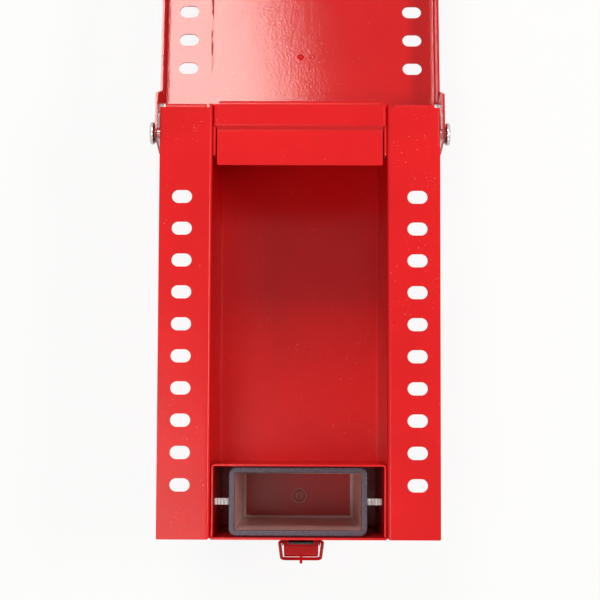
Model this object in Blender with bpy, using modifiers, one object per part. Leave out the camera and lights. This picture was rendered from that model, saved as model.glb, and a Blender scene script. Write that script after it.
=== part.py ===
"""Group lockout box: a folded steel box with two slotted flanges, a slotted lid on ear pins,
a loose bin in a front compartment, and a toggle latch with a locking staple.

Metres, +Z up. The box stands on z = 0 with its mouth up, its front at -Y and its hinge at +Y.
It is drawn with the lid thrown right back, as it stands when the box is in use.
"""

import math

import bmesh
import bpy
from mathutils import Matrix, Vector

MM = 0.001

# Sheet
SHEET = 1.5 * MM
BEND = 2.5 * MM
GAP = 0.3 * MM
BEND_STEPS = 5

# Box
HEIGHT = 155 * MM
FRONT_Y = -150 * MM
REAR_Y = 150 * MM
WELL_HALF = 60.4 * MM
FLANGE_HALF = 97 * MM
EAR_FACE = 97.2 * MM
EAR_BEND = 2 * MM
EAR_FRONT_Y = 120.5 * MM
EAR_BOTTOM = 117 * MM
LIP_DROP = 12 * MM

# Slots in the flanges and the lid
SLOT_ROWS = 10
SLOT_PITCH = 22 * MM
SLOT_FIRST_Y = 85 * MM
SLOT_X = 81.2 * MM
SLOT_LENGTH = 13.8 * MM
SLOT_WIDTH = 9 * MM

# Rear bridge
BRIDGE_HALF = 60 * MM
BRIDGE_STEP_Y = 134.8 * MM
BRIDGE_STRIP_Y = 131 * MM
BRIDGE_FRONT_Y = 107.5 * MM
BRIDGE_STEP = 2.8 * MM
BRIDGE_REAR_Y = 152 * MM
BRIDGE_REAR_DROP = 57 * MM
BRIDGE_EAR_FRONT_Y = 114 * MM
BRIDGE_EAR_BOTTOM = 136 * MM

# Front compartment
PARTITION_Y = -98.8 * MM
PARTITION_HALF = 59.9 * MM
PARTITION_TOP = 153.4 * MM
BIN_CENTRE = Vector((-0.5, -124.4, 0)) * MM
BIN_RIM = (95.2 * MM, 47.4 * MM)
BIN_MOUTH = (87.0 * MM, 39.2 * MM)
BIN_FLOOR = (83.6 * MM, 35.6 * MM)
BIN_TOP = 147 * MM
BIN_LIP = 4 * MM
BIN_WALL = 1.5 * MM
BIN_TAB_END = 57.6 * MM
BIN_TAB_WIDTH = 4.4 * MM

# Lid, given as it sits when it is shut
PIVOT_Y = 133 * MM
PIVOT_Z = 131 * MM
LID_OPEN = math.radians(189.1)
LID_SLIDE = 10.2 * MM
LID_TOP = HEIGHT + GAP + SHEET
LID_HALF = 98.9 * MM
LID_EAR_HALF = 100.6 * MM
LID_FRONT_Y = -152.5 * MM
LID_REAR_Y = 119.2 * MM
LID_EAR_END_Y = 152.5 * MM
LID_JOG_Y = (112 * MM, 115 * MM)
LID_SKIRT_BOTTOM = 128.8 * MM
LID_EAR_BOTTOM = 109 * MM

# Pivot pins
PIN_RADIUS = 3.8 * MM
PIN_HEAD_RADIUS = 8 * MM
PIN_HEAD = (102.5 * MM, 106 * MM)
PIN_INNER_END = 92.0 * MM
WASHER_RADIUS = 6.6 * MM
CLIP = (94.2 * MM, 95.4 * MM)
CLIP_RADIUS = 7 * MM
CLIP_MOUTH = 5.6 * MM

# Latch, a little to the right of the box's middle; points in a side view are (y, z)
LATCH_X = 1.8 * MM
LATCH_SHEET = 1.2 * MM
LATCH_BASE_HALF = 10.2 * MM
LATCH_BASE = (68 * MM, 118 * MM)
BASE_FOOT_Y = -160.4 * MM
LEVER_PIVOT = Vector((LATCH_X, -154.6 * MM, 109 * MM))
BAIL_PIN = Vector((LATCH_X, -154.2 * MM, 101 * MM))
LEVER_HALF = 12.3 * MM
LEVER_FACE = ((-157.0, 105.6), (-163.4, 94.4), (-163.8, 93.5), (-163.95, 92.6), (-163.8, 91.7),
              (-161.9, 87.4), (-161.5, 85.5), (-161.4, 83.2), (-161.6, 80.2), (-162.1, 78.4), (-163.1, 76.8),
              (-164.5, 75.6), (-166.4, 74.7), (-166.8, 74.2))
LEVER_BACK = ((-166.5, 73.5), (-164.0, 74.2), (-162.0, 75.9), (-160.4, 78.2), (-158.2, 82), (-156.0, 89),
              (-153.2, 96), (-151.9, 98.6), (-151.5, 101), (-151.6, 105.5))
LEVER_HOLLOW = ((-175, 116), (-175, 105.4), (-155.6, 105.4), (-162.3, 93.9), (-162.6, 93.2), (-162.7, 92.5),
                (-162.6, 91.9), (-160.8, 87.6), (-160.3, 85.6), (-160.2, 83.2), (-160.4, 80.1), (-160.9, 78.2),
                (-160.4, 77.2), (-158, 70), (-145, 70), (-145, 116))
LEVER_SLOT = (77.8 * MM, 91.4 * MM)
LEVER_PIN_RADIUS = 1.2 * MM
EYE_RADIUS = 2.8 * MM
BARREL_RADIUS = 2.1 * MM
WIRE_RADIUS = 1.2 * MM
BAIL_LENGTH = 34 * MM
BAIL_HANG = math.radians(25)
BAIL_HALF = (15.3 * MM, 14.1 * MM)
STAPLE_HALF = 1.0 * MM
STAPLE_EYE = Vector((LATCH_X, -165.6 * MM, 85.5 * MM))
STAPLE_RADIUS = 5.3 * MM
STAPLE_HOLE = 3.6 * MM
RIVET_RADIUS = 1.3 * MM
RIVET_HOLE = RIVET_RADIUS + GAP
RIVETS = [(LATCH_X + x * MM, z * MM) for x in (-6.5, 6.5) for z in (74, 94)]

# Keeper on the lid's front
KEEPER_HALF = 9 * MM
KEEPER_TOP = 148 * MM
KEEPER_FOOT = 131.9 * MM
KEEPER_LIP_Y = -159.8 * MM
KEEPER_LIP_TOP = 137 * MM

collection = bpy.data.collections.new("group_lockout_box")
cutters = bpy.data.collections.new("cutters")


def material(name, colour, roughness, metallic=0.0, alpha=1.0):
    made = bpy.data.materials.new(name)
    made.use_nodes = True
    shader = made.node_tree.nodes["Principled BSDF"]
    shader.inputs["Base Color"].default_value = (*colour, 1)
    shader.inputs["Roughness"].default_value = roughness
    shader.inputs["Metallic"].default_value = metallic
    shader.inputs["Alpha"].default_value = alpha
    made.diffuse_color = (*colour, alpha)
    return made


def add_object(name, mesh, finish, owner=None):
    made = bpy.data.objects.new(name, mesh)
    (owner or collection).objects.link(made)
    if finish:
        mesh.materials.append(finish)
    return made


def mesh_from(bm, name):
    mesh = bpy.data.meshes.new(name)
    bm.to_mesh(mesh)
    bm.free()
    return mesh


def rounded(corners, radius, steps=BEND_STEPS):
    """An open path through the corners, with an arc in place of each inner corner."""
    path = [Vector(corners[0])]
    for before, corner, after in zip(corners, corners[1:], corners[2:]):
        before, corner, after = Vector(before), Vector(corner), Vector(after)
        back, ahead = (before - corner).normalized(), (after - corner).normalized()
        half = back.angle(ahead) / 2
        centre = corner + (back + ahead).normalized() * radius / math.sin(half)
        start = corner + back * radius / math.tan(half)
        end = corner + ahead * radius / math.tan(half)
        for step in range(steps + 1):
            between = (start - centre).slerp(end - centre, step / steps)
            path.append(centre + between.normalized() * radius)
    path.append(Vector(corners[-1]))
    return path


def rounded_rectangle(width, depth, radius, steps=4):
    """A closed loop of points, counter-clockwise."""
    loop = []
    for quarter in range(4):
        sign_x = (1, -1, -1, 1)[quarter]
        sign_y = (1, 1, -1, -1)[quarter]
        centre = Vector((sign_x * (width / 2 - radius), sign_y * (depth / 2 - radius)))
        for step in range(steps + 1):
            angle = math.radians(90 * (quarter + step / steps))
            loop.append(centre + radius * Vector((math.cos(angle), math.sin(angle))))
    return loop


def sheet_grid(bm, sections, kept=lambda row, column: True):
    """Quads between neighbouring sections, each a row of as many points."""
    rows = [[bm.verts.new(point) for point in section] for section in sections]
    for row, (low, high) in enumerate(zip(rows, rows[1:])):
        for column in range(len(low) - 1):
            if kept(row, column):
                bm.faces.new((low[column], low[column + 1], high[column + 1], high[column]))
    bmesh.ops.delete(bm, geom=[vert for vert in bm.verts if not vert.link_faces], context="VERTS")
    return rows


def extrude_edge_along(bm, edges, offsets):
    """Carries open edges through a run of offsets, and returns the last edges."""
    for offset in offsets:
        made = bmesh.ops.extrude_edge_only(bm, edges=edges)["geom"]
        edges = [item for item in made if isinstance(item, bmesh.types.BMEdge)]
        verts = [item for item in made if isinstance(item, bmesh.types.BMVert)]
        bmesh.ops.translate(bm, verts=verts, vec=offset)
    return edges


def fold_down(bm, edges, outward, drop):
    """Folds the edges over a bend of radius BEND and down by drop, below their own height."""
    path = rounded([(0, 0), (BEND, 0), (BEND, -drop)], BEND - 1e-6)[1:]
    steps = [later - earlier for earlier, later in zip(path, path[1:])]
    offsets = [outward * step.x + Vector((0, 0, step.y)) for step in steps]
    extrude_edge_along(bm, edges, offsets)


def solidify(made, thickness, inward=True):
    shell = made.modifiers.new("Sheet", "SOLIDIFY")
    shell.thickness = thickness
    shell.offset = -1 if inward else 1
    shell.use_even_offset = True


def boolean(made, tool, operation="DIFFERENCE"):
    tool.hide_render = True
    tool.display_type = "WIRE"
    cut = made.modifiers.new(operation.title(), "BOOLEAN")
    cut.operation = operation
    cut.solver = "EXACT"
    cut.object = tool


def prism(name, outline, across, low, high, finish=None, owner=None):
    """A flat outline pushed from low to high along the axis that it lies across."""
    order = {"X": (2, 0, 1), "Y": (0, 2, 1), "Z": (0, 1, 2)}[across]
    bm = bmesh.new()
    verts = []
    for first, second in outline:
        place = (first, second, low)
        verts.append(bm.verts.new([place[index] for index in order]))
    face = bm.faces.new(verts)
    pushed = bmesh.ops.extrude_face_region(bm, geom=[face])["geom"]
    moved = [item for item in pushed if isinstance(item, bmesh.types.BMVert)]
    push = [(0, 0, high - low)[index] for index in order]
    bmesh.ops.translate(bm, verts=moved, vec=push)
    bmesh.ops.recalc_face_normals(bm, faces=bm.faces)
    return add_object(name, mesh_from(bm, name), finish, owner)


def circle(centre, radius, sides):
    """A closed loop of points round a centre."""
    angles = [2 * math.pi * (side + 0.5) / sides for side in range(sides)]
    return [(centre[0] + radius * math.cos(a), centre[1] + radius * math.sin(a)) for a in angles]


def stadium(centre, length, width, steps=8):
    """A slot with round ends, long on its first axis."""
    radius = width / 2
    loop = []
    for end in (1, -1):
        for step in range(steps + 1):
            angle = math.pi * (step / steps - 0.5) + (0 if end == 1 else math.pi)
            across = centre[0] + end * (length / 2 - radius) + radius * math.cos(angle)
            loop.append((across, centre[1] + radius * math.sin(angle)))
    return loop


def join_cutters(name, tools):
    """One cutter made of several separate solids."""
    bm = bmesh.new()
    for tool in tools:
        bm.from_mesh(tool.data)
        bpy.data.objects.remove(tool)
    return add_object(name, mesh_from(bm, name), None, cutters)


def turned(name, profile, finish, steps=24, closed=False):
    """A profile of (radius, height) points, top to bottom, turned about Z."""
    bm = bmesh.new()
    verts = [bm.verts.new((radius, 0, height)) for radius, height in profile]
    for upper, lower in zip(verts, verts[1:]):
        bm.edges.new((upper, lower))
    if closed:
        bm.edges.new((verts[-1], verts[0]))
    made = add_object(name, mesh_from(bm, name), finish)
    screw = made.modifiers.new("Turn", "SCREW")
    screw.steps = steps
    screw.render_steps = steps
    screw.use_merge_vertices = True
    screw.merge_threshold = 0.00001
    screw.use_normal_calculate = False
    return made


def smooth(made, angle=40):
    made.data.shade_smooth()
    made.data.set_sharp_from_angle(angle=math.radians(angle))


def wire(name, route, radius, finish, resolution=2):
    """A round wire along a route, as a curve with filled ends."""
    data = bpy.data.curves.new(name, "CURVE")
    data.dimensions = "3D"
    data.bevel_depth = radius
    data.bevel_resolution = resolution
    data.use_fill_caps = True
    spline = data.splines.new("POLY")
    spline.points.add(len(route) - 1)
    for point, place in zip(spline.points, route):
        point.co = (*place, 1)
    made = bpy.data.objects.new(name, data)
    collection.objects.link(made)
    data.materials.append(finish)
    return made


RED = material("red_powder_coat", (0.78, 0.012, 0.014), 0.3)
STEEL = material("stainless_steel", (0.62, 0.61, 0.59), 0.25, 1.0)
DARK = material("dark_washer", (0.05, 0.045, 0.045), 0.5)
CLEAR = material("smoky_clear_plastic", (0.5, 0.48, 0.52), 0.2, 0.0, 0.6)


# Box

def side_panel(name, side):
    """One wall of the well, folded out into a slotted flange, with the hinge ear and a rear lip."""
    flat_start = WELL_HALF + BEND
    ear_bend = EAR_FACE - EAR_BEND
    profile = rounded([(WELL_HALF, 0), (WELL_HALF, HEIGHT), (flat_start, HEIGHT)], BEND - 1e-6)[:-1]
    lip = (flat_start + 2 * MM, ear_bend - 2 * MM)
    profile += [Vector((x, HEIGHT)) for x in (*lip, ear_bend, FLANGE_HALF)]
    rim = len(profile) - 1
    stations = (FRONT_Y, EAR_FRONT_Y, REAR_Y - BEND, REAR_Y)
    bm = bmesh.new()
    sections = [[(side * p.x, y, p.y) for p in profile] for y in stations]

    def kept(row, column):
        if column == rim - 1:
            return row == 0
        return row < 2 or column < rim - 4

    rows = sheet_grid(bm, sections, kept)
    ear_edge = bm.edges.get((rows[1][rim - 1], rows[2][rim - 1]))
    ear_path = rounded([(0, 0), (EAR_BEND, 0), (EAR_BEND, EAR_BOTTOM - HEIGHT)], EAR_BEND - 1e-6)[1:]
    ear_steps = [later - earlier for earlier, later in zip(ear_path, ear_path[1:])]
    extrude_edge_along(bm, [ear_edge], [Vector((side * s.x, 0, s.y)) for s in ear_steps])
    lip_edge = bm.edges.get((rows[2][rim - 3], rows[2][rim - 2]))
    fold_down(bm, [lip_edge], Vector((0, 1, 0)), LIP_DROP)
    bmesh.ops.remove_doubles(bm, verts=bm.verts, dist=1e-5)
    if side < 0:
        bmesh.ops.reverse_faces(bm, faces=bm.faces)
    panel = add_object(name, mesh_from(bm, name), RED)
    solidify(panel, SHEET)
    boolean(panel, slot_cutter(name + "_slots", side, HEIGHT, 0))
    hole = prism(name + "_pin_hole", circle((PIVOT_Y, PIVOT_Z), PIN_RADIUS + GAP, 24), "X",
                 side * 90 * MM, side * 105 * MM, None, cutters)
    boolean(panel, hole)
    return panel


def slot_cutter(name, side, top, shift):
    """The row of slots down one side, through a sheet whose top face is at top."""
    tools = []
    for row in range(SLOT_ROWS):
        centre = (side * SLOT_X, SLOT_FIRST_Y - SLOT_PITCH * row + shift)
        outline = stadium(centre, SLOT_LENGTH, SLOT_WIDTH)
        tools.append(prism("slot", outline, "Z", top - 4 * MM, top + 2 * MM))
    return join_cutters(name, tools)


def tub():
    """The front wall, the base and the rear wall, folded from one strip."""
    half = WELL_HALF - GAP
    rear_top = HEIGHT - SHEET - GAP
    path = rounded([(FRONT_Y, HEIGHT), (FRONT_Y, 0), (REAR_Y, 0), (REAR_Y, rear_top)], BEND)
    bm = bmesh.new()
    sheet_grid(bm, [[(x, p.x, p.y) for p in path] for x in (-half, half)])
    made = add_object("tub", mesh_from(bm, "tub"), RED)
    solidify(made, SHEET)
    boolean(made, rivet_holes("tub_rivet_holes", FRONT_Y - 1 * MM, FRONT_Y + 3 * MM))
    return made


def rear_bridge():
    """The fixed plate over the back of the well: flush plate, joggled strip, ears and rear drop."""
    flat = BRIDGE_HALF - BEND
    half = rounded([(BRIDGE_HALF, BRIDGE_EAR_BOTTOM), (BRIDGE_HALF, HEIGHT), (0, HEIGHT)], BEND)[:-1]
    profile = [Vector((-p.x, p.y)) for p in half] + [Vector(p) for p in reversed(half)]
    straight = (0, len(profile) - 2)
    middle = len(half) - 1
    chamfer = 3 * MM
    stations = (BRIDGE_EAR_FRONT_Y, BRIDGE_EAR_FRONT_Y + chamfer, BRIDGE_STEP_Y,
                REAR_Y - SHEET - GAP)
    bm = bmesh.new()
    sections = [[Vector((p.x, y, p.y)) for p in profile] for y in stations]
    for column in (1, len(profile) - 2):
        sections[0][column].z -= chamfer
    rows = sheet_grid(bm, sections, lambda row, column: row == 2 or column in straight)
    front = bm.edges.get((rows[2][middle], rows[2][middle + 1]))
    step = Vector((0, BRIDGE_STRIP_Y - BRIDGE_STEP_Y, -BRIDGE_STEP))
    corner = 1.5 * MM
    strip = Vector((0, BRIDGE_FRONT_Y + corner - BRIDGE_STRIP_Y, 0))
    last = extrude_edge_along(bm, [front], [step, strip])
    nose = bmesh.ops.extrude_edge_only(bm, edges=last)["geom"]
    for vert in (item for item in nose if isinstance(item, bmesh.types.BMVert)):
        vert.co += Vector((-math.copysign(corner, vert.co.x), -corner, 0))
    rear = bm.edges.get((rows[3][middle], rows[3][middle + 1]))
    inset = bmesh.ops.extrude_edge_only(bm, edges=[rear])["geom"]
    for vert in (item for item in inset if isinstance(item, bmesh.types.BMVert)):
        vert.co.y = BRIDGE_REAR_Y - BEND
        vert.co.x = math.copysign(flat - 2 * MM, vert.co.x)
    rear_edges = [item for item in inset if isinstance(item, bmesh.types.BMEdge)]
    fold_down(bm, rear_edges, Vector((0, 1, 0)), BRIDGE_REAR_DROP)
    bmesh.ops.remove_doubles(bm, verts=bm.verts, dist=1e-5)
    made = add_object("rear_bridge", mesh_from(bm, "rear_bridge"), RED)
    solidify(made, SHEET)
    return made


def partition():
    """The U-shaped divider of the front compartment."""
    path = rounded([(-PARTITION_HALF, FRONT_Y + SHEET + GAP), (-PARTITION_HALF, PARTITION_Y),
                    (PARTITION_HALF, PARTITION_Y), (PARTITION_HALF, FRONT_Y + SHEET + GAP)], BEND)
    bm = bmesh.new()
    levels = (SHEET + GAP, PARTITION_TOP)
    sheet_grid(bm, [[(p.x, p.y, z) for p in path] for z in levels])
    bmesh.ops.reverse_faces(bm, faces=bm.faces)
    made = add_object("partition", mesh_from(bm, "partition"), RED)
    solidify(made, SHEET)
    return made


def key_bin():
    """The moulded bin: tapered walls, a turned-down rim and a ribbed grip tab at each end."""
    floor = SHEET + GAP + BIN_WALL
    rings = (
        (BIN_FLOOR[0] - 5 * MM, BIN_FLOOR[1] - 5 * MM, 3 * MM, floor),
        (BIN_FLOOR[0] - 1 * MM, BIN_FLOOR[1] - 1 * MM, 4 * MM, floor + 1 * MM),
        (BIN_FLOOR[0], BIN_FLOOR[1], 4 * MM, floor + 3 * MM),
        (BIN_MOUTH[0], BIN_MOUTH[1], 4 * MM, BIN_TOP - 1.2 * MM),
        (BIN_MOUTH[0] + 1.6 * MM, BIN_MOUTH[1] + 1.6 * MM, 4.8 * MM, BIN_TOP),
        (BIN_RIM[0] - 1 * MM, BIN_RIM[1] - 1 * MM, 6 * MM, BIN_TOP),
        (BIN_RIM[0], BIN_RIM[1], 6.5 * MM, BIN_TOP - 0.5 * MM),
        (BIN_RIM[0], BIN_RIM[1], 6.5 * MM, BIN_TOP - BIN_LIP),
    )
    bm = bmesh.new()
    sections = []
    for width, depth, radius, height in rings:
        loop = rounded_rectangle(width, depth, radius)
        loop.append(loop[0])
        sections.append([(p.x + BIN_CENTRE.x, p.y + BIN_CENTRE.y, height) for p in loop])
    sheet_grid(bm, sections)
    bmesh.ops.remove_doubles(bm, verts=bm.verts, dist=1e-5)
    hole = [edge for edge in bm.edges if edge.is_boundary and edge.verts[0].co.z < BIN_TOP / 2]
    bmesh.ops.contextual_create(bm, geom=hole)
    bmesh.ops.reverse_faces(bm, faces=bm.faces)
    made = add_object("key_bin", mesh_from(bm, "key_bin"), CLEAR)
    solidify(made, BIN_WALL)
    for side, word in ((-1, "left"), (1, "right")):
        boolean(made, grip_tab("key_bin_tab_" + word, side), "UNION")
    return made


def grip_tab(name, side):
    """A flat tab with cross ribs on its upper face."""
    start = BIN_RIM[0] / 2 - 1 * MM
    ribs = 4
    pitch = (BIN_TAB_END - BIN_RIM[0] / 2 - 1.2 * MM) / ribs
    top = BIN_TOP - 0.8 * MM
    outline = [(start, top - 2.6 * MM), (start, top - 0.6 * MM)]
    for rib in range(ribs):
        foot = BIN_RIM[0] / 2 + 0.6 * MM + pitch * rib
        outline += [(foot, top - 0.6 * MM), (foot + 0.4 * MM, top), (foot + pitch - 0.7 * MM, top)]
        outline += [(foot + pitch - 0.3 * MM, top - 0.6 * MM)]
    outline += [(BIN_TAB_END, top - 0.6 * MM), (BIN_TAB_END, top - 2.6 * MM)]
    placed = [(BIN_CENTRE.x + side * x, z) for x, z in outline]
    middle = BIN_CENTRE.y
    return prism(name, placed, "Y", middle - BIN_TAB_WIDTH / 2, middle + BIN_TAB_WIDTH / 2,
                 None, cutters)


# Lid

def lid_pivot():
    """The joint axis of the lid, turned to the thrown-back position."""
    pivot = bpy.data.objects.new("lid_hinge_axis", None)
    collection.objects.link(pivot)
    pivot.location = (0, PIVOT_Y, PIVOT_Z)
    pivot.rotation_euler.x = -LID_OPEN
    return pivot


def hang_on(pivot, made):
    """Moves a piece drawn shut, and its cutters, onto the lid's axis and out along its ears."""
    for piece in (made, *[modifier.object for modifier in made.modifiers if modifier.type == "BOOLEAN"]):
        piece.data.transform(Matrix.Translation((0, -PIVOT_Y, -PIVOT_Z)))
        piece.parent = pivot
        piece.location = (0, -LID_SLIDE, 0)


def lid_shell():
    """The lid plate with its side skirts, its folded front and the joggled ears of the hinge."""
    half = rounded([(LID_HALF, LID_SKIRT_BOTTOM), (LID_HALF, LID_TOP), (0, LID_TOP)], BEND)[:-1]
    profile = [Vector((-p.x, p.y)) for p in half] + [Vector(p) for p in reversed(half)]
    skirt = (0, len(profile) - 2)
    middle = len(half) - 1
    flat_front = LID_FRONT_Y + BEND
    slope_end = LID_JOG_Y[1] + 4 * MM
    corner = 5 * MM
    stations = (LID_FRONT_Y, flat_front, LID_JOG_Y[0], LID_JOG_Y[1], LID_REAR_Y,
                slope_end + 2 * MM, LID_EAR_END_Y - corner, LID_EAR_END_Y)
    bm = bmesh.new()
    sections = [[Vector((p.x, y, p.y)) for p in profile] for y in stations]
    ear_columns = (0, 1, len(profile) - 2, len(profile) - 1)
    for row in range(3, len(stations)):
        for column in ear_columns:
            sections[row][column].x = math.copysign(LID_EAR_HALF, sections[row][column].x)
    for row, bottom in ((3, LID_SKIRT_BOTTOM - 6 * MM), (4, LID_EAR_BOTTOM + 4 * MM),
                        (5, LID_EAR_BOTTOM), (6, LID_EAR_BOTTOM), (7, LID_EAR_BOTTOM + corner)):
        for column in (0, len(profile) - 1):
            sections[row][column].z = bottom
    for column in (1, len(profile) - 2):
        sections[7][column].z -= corner

    def kept(row, column):
        if column in skirt or row == 1:
            return True
        return column == middle and row in (2, 3)

    rows = sheet_grid(bm, sections, kept)
    front = bm.edges.get((rows[1][middle], rows[1][middle + 1]))
    drop = LID_TOP - LID_SKIRT_BOTTOM
    fold_down(bm, [front], Vector((0, -1, 0)), drop)
    bmesh.ops.remove_doubles(bm, verts=bm.verts, dist=1e-5)
    bmesh.ops.recalc_face_normals(bm, faces=bm.faces)
    made = add_object("lid_shell", mesh_from(bm, "lid_shell"), RED)
    solidify(made, SHEET)
    for side, word in ((-1, "left"), (1, "right")):
        boolean(made, slot_cutter("lid_slots_" + word, side, LID_TOP, 0))
        ear_slot = stadium((PIVOT_Y + LID_SLIDE / 2, PIVOT_Z),
                           LID_SLIDE + 2 * (PIN_RADIUS + GAP), 2 * (PIN_RADIUS + GAP), 12)
        boolean(made, prism("lid_ear_slot_" + word, ear_slot, "X", side * 95 * MM, side * 105 * MM,
                            None, cutters))
    return made


def keeper():
    """The hook on the lid's front that the latch's bail pulls on."""
    back = LID_FRONT_Y - GAP
    face = back - LATCH_SHEET
    trough = KEEPER_FOOT + LATCH_SHEET
    corner = 0.8 * MM
    outline = [(back, KEEPER_TOP), (back, KEEPER_FOOT), (KEEPER_LIP_Y + corner, KEEPER_FOOT),
               (KEEPER_LIP_Y, KEEPER_FOOT + corner), (KEEPER_LIP_Y, KEEPER_LIP_TOP),
               (KEEPER_LIP_Y + LATCH_SHEET, KEEPER_LIP_TOP), (KEEPER_LIP_Y + LATCH_SHEET, trough),
               (face, trough), (face, KEEPER_TOP)]
    return prism("latch_keeper", outline, "X", LATCH_X - KEEPER_HALF, LATCH_X + KEEPER_HALF, RED)


# Pivot pins

def pivot_pin(word):
    """A round-headed clevis pin, its head outside the lid's ear."""
    low, high = PIN_HEAD
    chamfer = 0.8 * MM
    profile = [(0, high), (PIN_HEAD_RADIUS - chamfer, high), (PIN_HEAD_RADIUS, high - chamfer),
               (PIN_HEAD_RADIUS, low + chamfer), (PIN_HEAD_RADIUS - chamfer, low),
               (PIN_RADIUS, low), (PIN_RADIUS, PIN_INNER_END + chamfer),
               (PIN_RADIUS - chamfer, PIN_INNER_END), (0, PIN_INNER_END)]
    return turned("pivot_pin_" + word, profile, STEEL, 32)


def ring(name, inner, outer, low, high, finish, steps=24):
    """A flat ring whose hole runs along its own Z."""
    profile = [(inner, high), (outer, high), (outer, low), (inner, low)]
    return turned(name, profile, finish, steps, True)


def spring_clip(name, side):
    """A flat clip pushed onto the pin from above, its mouth a little narrower than its hole."""
    half = math.asin(CLIP_MOUTH / 2 / (PIN_RADIUS + GAP))
    inner = [(math.pi / 2 + half) + (2 * math.pi - 2 * half) * step / 28 for step in range(29)]
    outer_half = math.asin(CLIP_MOUTH / 2 / CLIP_RADIUS) + math.radians(6)
    outer = [(math.pi / 2 + outer_half) + (2 * math.pi - 2 * outer_half) * step / 28 for step in range(29)]
    hole = PIN_RADIUS + GAP
    outline = [(CLIP_RADIUS * math.cos(a), CLIP_RADIUS * math.sin(a)) for a in outer]
    outline += [(hole * math.cos(a), hole * math.sin(a)) for a in reversed(inner)]
    low, high = sorted((side * CLIP[0], side * CLIP[1]))
    return prism(name, outline, "X", low, high, STEEL)


def hinge_pieces(pivot):
    """On each side a pin, the washer under its head and the spring clip behind the box's ear."""
    for word, side in (("left", -1), ("right", 1)):
        pin = pivot_pin(word)
        washer = ring("pin_washer_" + word, PIN_RADIUS + GAP, WASHER_RADIUS, LID_EAR_HALF + GAP,
                      PIN_HEAD[0] - GAP, DARK)
        for made in (pin, washer):
            made.rotation_euler.y = side * math.pi / 2
            smooth(made)
            made.parent = pivot
        spring_clip("pin_clip_" + word, side).parent = pivot


# Latch

def rivet_holes(name, low, high):
    tools = [prism("hole", circle(place, RIVET_HOLE, 12), "Y", low, high) for place in RIVETS]
    return join_cutters(name, tools)


def latch_rivets():
    """Four like rivets through the latch base and the front wall, each along its own Z."""
    head = 2 * GAP + LATCH_SHEET
    tail = -SHEET - GAP
    profile = [(0, head + 0.9 * MM), (1.4 * MM, head + 0.9 * MM), (2.1 * MM, head + 0.5 * MM),
               (2.4 * MM, head), (RIVET_RADIUS, head), (RIVET_RADIUS, tail), (2.2 * MM, tail),
               (2.2 * MM, tail - 0.8 * MM), (0, tail - 0.8 * MM)]
    first = turned("latch_rivet_1", profile, STEEL, 12)
    smooth(first)
    for number, (x, z) in enumerate(RIVETS, 1):
        rivet = first
        if number > 1:
            rivet = first.copy()
            rivet.name = f"latch_rivet_{number}"
            collection.objects.link(rivet)
        rivet.rotation_euler.x = math.pi / 2
        rivet.location = (x, FRONT_Y, z)


def latch_base():
    """The plate on the front wall that carries the lever, with an ear each side and a folded foot."""
    back = FRONT_Y - GAP
    face = back - LATCH_SHEET
    low, high = LATCH_BASE
    corner = 3 * MM
    outline = rounded_rectangle(2 * LATCH_BASE_HALF, high - low, corner)
    outline = [(p.x + LATCH_X, p.y + (low + high) / 2) for p in outline]
    made = prism("latch_base", outline, "Y", face, back, RED)
    left, right = LATCH_X - LATCH_BASE_HALF, LATCH_X + LATCH_BASE_HALF
    foot = rounded([(back, low + 4 * MM), (back, low), (BASE_FOOT_Y, low)], 1.8 * MM, 3)
    foot += rounded([(BASE_FOOT_Y, low + LATCH_SHEET), (face, low + LATCH_SHEET), (face, low + 4 * MM)],
                    0.6 * MM, 3)
    boolean(made, prism("latch_base_foot", foot, "X", left, right, None, cutters), "UNION")
    boolean(made, rivet_holes("latch_base_rivet_holes", face - 1 * MM, back + 0.2 * MM))
    end = [(LEVER_PIVOT.y - EYE_RADIUS * math.sin(math.pi * step / 8),
            LEVER_PIVOT.z + EYE_RADIUS * math.cos(math.pi * step / 8)) for step in range(9)]
    root = face + 0.7 * MM
    ear = [(root, LEVER_PIVOT.z + EYE_RADIUS), *end, (root, LEVER_PIVOT.z - EYE_RADIUS)]
    for side, word in ((-1, "left"), (1, "right")):
        inner = LATCH_X + side * (LATCH_BASE_HALF - LATCH_SHEET)
        outer = LATCH_X + side * LATCH_BASE_HALF
        blank = prism("latch_ear_" + word, ear, "X", inner, outer, None, cutters)
        boolean(made, blank, "UNION")
    hole = circle(LEVER_PIVOT.yz, LEVER_PIN_RADIUS + GAP, 16)
    boolean(made, prism("latch_ear_hole", hole, "X", LATCH_X - 15 * MM, LATCH_X + 15 * MM, None, cutters))
    return made


def latch_staple():
    """The locking eye that stands through the lever's slot."""
    foot = FRONT_Y - 2 * GAP - LATCH_SHEET
    centre = STAPLE_EYE.yz
    nose = [(centre[0] - STAPLE_RADIUS * math.sin(math.pi * step / 12),
             centre[1] + STAPLE_RADIUS * math.cos(math.pi * step / 12)) for step in range(13)]
    outline = [(foot, centre[1] + STAPLE_RADIUS), *nose, (foot, centre[1] - STAPLE_RADIUS)]
    made = prism("latch_staple", outline, "X", LATCH_X - STAPLE_HALF, LATCH_X + STAPLE_HALF, RED)
    eye = circle(centre, STAPLE_HOLE, 24)
    boolean(made, prism("staple_eye", eye, "X", LATCH_X - 5 * MM, LATCH_X + 5 * MM, None, cutters))
    return made


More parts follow.
